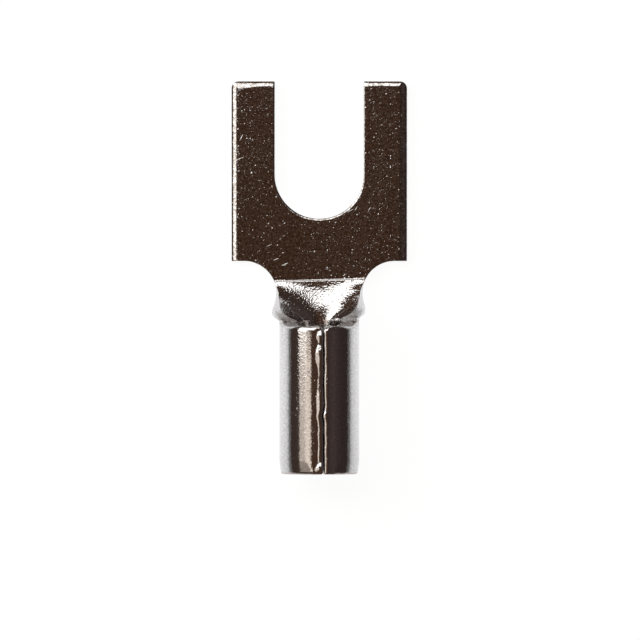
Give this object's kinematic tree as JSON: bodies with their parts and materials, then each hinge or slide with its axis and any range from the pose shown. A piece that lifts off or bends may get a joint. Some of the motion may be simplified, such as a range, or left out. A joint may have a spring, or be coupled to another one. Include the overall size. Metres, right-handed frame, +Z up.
{
  "type": "fork terminal",
  "caption": "Bare crimp fork terminal: a flat forked tongue for a screw stud and a rolled wire barrel with a butted seam, stamped from one sheet and tin plated.",
  "frame": {"origin": "centre of the stud slot's round end, on the underside of the tongue", "axes": "+X across the tines, +Y from the barrel to the open ends of the tines, +Z up from the seating face to the barrel's seam"},
  "size_m": [0.0082, 0.0186, 0.0038],
  "materials": {
    "tin_plated_copper": "bright tin plate over copper, with fine pits and handling marks"
  },
  "bodies": {
    "root": {"fork_terminal": "tin_plated_copper"}
  },
  "joints": []
}
